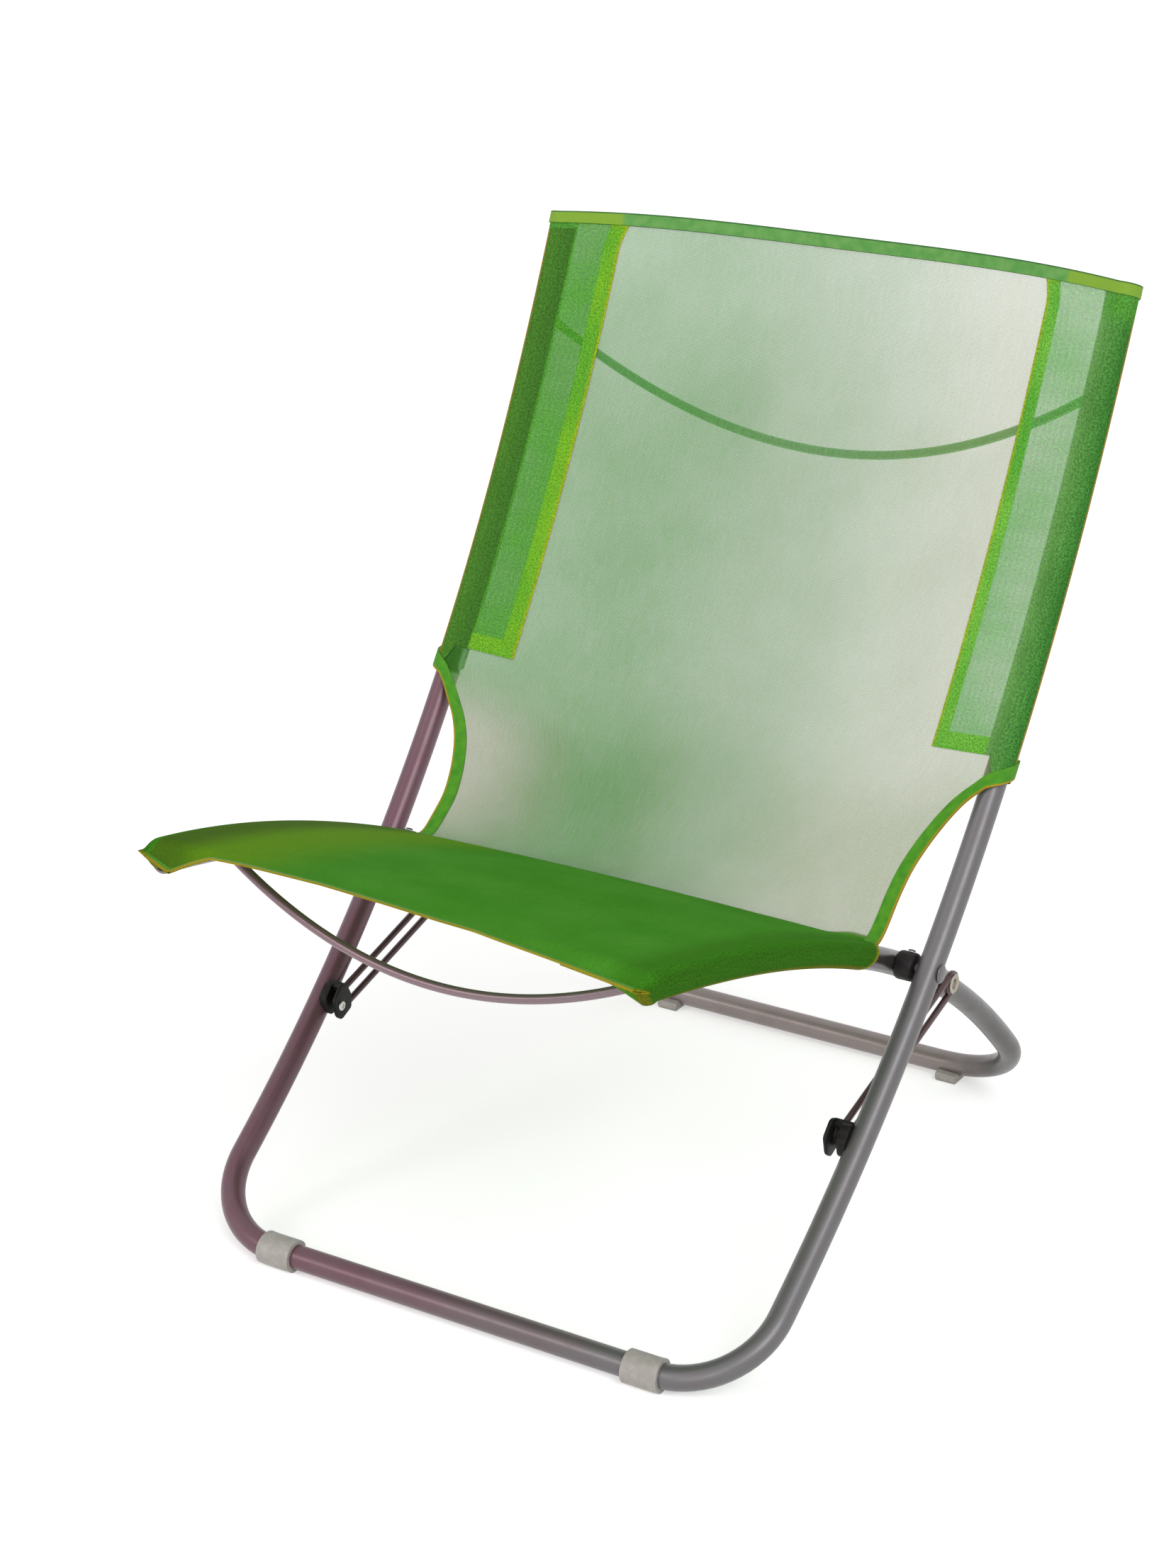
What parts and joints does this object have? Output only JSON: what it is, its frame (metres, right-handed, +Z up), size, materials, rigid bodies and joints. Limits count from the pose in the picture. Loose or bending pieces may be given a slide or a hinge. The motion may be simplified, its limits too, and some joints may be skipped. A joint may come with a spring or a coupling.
{
  "type": "folding beach chair",
  "caption": "Low folding beach chair: two bent steel tube frames crossing on pivot rivets, a mesh sling sleeved over both, bowed spreader rods and slotted wire stays that stop it when open.",
  "frame": {"origin": "on the floor, at the middle of the open chair's footprint", "axes": "+Z up, the front of the seat towards -Y, +X across the chair"},
  "size_m": [0.5456, 0.6886, 0.7384],
  "materials": {
    "frame_paint": "grey metallic paint with a soft gloss",
    "mesh_cloth": "sheer green polyester mesh with yellow-green bindings",
    "black_plastic": "black moulded plastic, satin",
    "grey_plastic": "warm light grey moulded plastic, satin",
    "steel": "plain zinc-plated steel"
  },
  "bodies": {
    "main_frame": {"main_frame_tube": "frame_paint", "rail_end_plug_right": "black_plastic", "rail_end_plug_left": "black_plastic", "front_foot_right": "grey_plastic", "front_foot_left": "grey_plastic", "pivot_rivet_right": "steel", "pivot_rivet_left": "steel", "guide_block_right": "black_plastic", "guide_block_left": "black_plastic", "block_screw_right": "steel", "block_screw_left": "steel", "back_rod": "frame_paint", "back_sling": "mesh_cloth", "waist_sling": "mesh_cloth"},
    "seat_frame": {"seat_frame_tube": "frame_paint", "seat_end_plug_right": "black_plastic", "seat_end_plug_left": "black_plastic", "rear_foot_right": "grey_plastic", "rear_foot_left": "grey_plastic", "pivot_saddle_right": "black_plastic", "pivot_saddle_left": "black_plastic", "saddle_screw_right": "steel", "saddle_screw_left": "steel", "stay_band_right": "frame_paint", "stay_band_left": "frame_paint", "stay_pin_right": "steel", "stay_pin_left": "steel", "front_rod": "frame_paint", "seat_sling": "mesh_cloth"},
    "right_stay": {"stay_right": "frame_paint"},
    "left_stay": {"stay_left": "frame_paint"}
  },
  "joints": [
    {"name": "fold", "type": "hinge", "parent": "main_frame", "child": "seat_frame", "pos_m": [0, 0.03213, 0.24876], "axis": [-1, 0, 0], "range_deg": [0, 92], "deforming": ["waist_sling"]},
    {"name": "right_stay_turn", "type": "hinge", "parent": "seat_frame", "child": "right_stay", "pos_m": [0.23385, 0.11874, 0.19885], "axis": [1, 0, 0], "range_deg": [0, 98.5]},
    {"name": "left_stay_turn", "type": "hinge", "parent": "seat_frame", "child": "left_stay", "pos_m": [-0.23385, 0.11874, 0.19885], "axis": [1, 0, 0], "range_deg": [0, 98.5]}
  ],
  "couplings": [
    {"joint": "right_stay_turn", "follows": "fold", "ratio": 1.066},
    {"joint": "left_stay_turn", "follows": "fold", "ratio": 1.066}
  ]
}
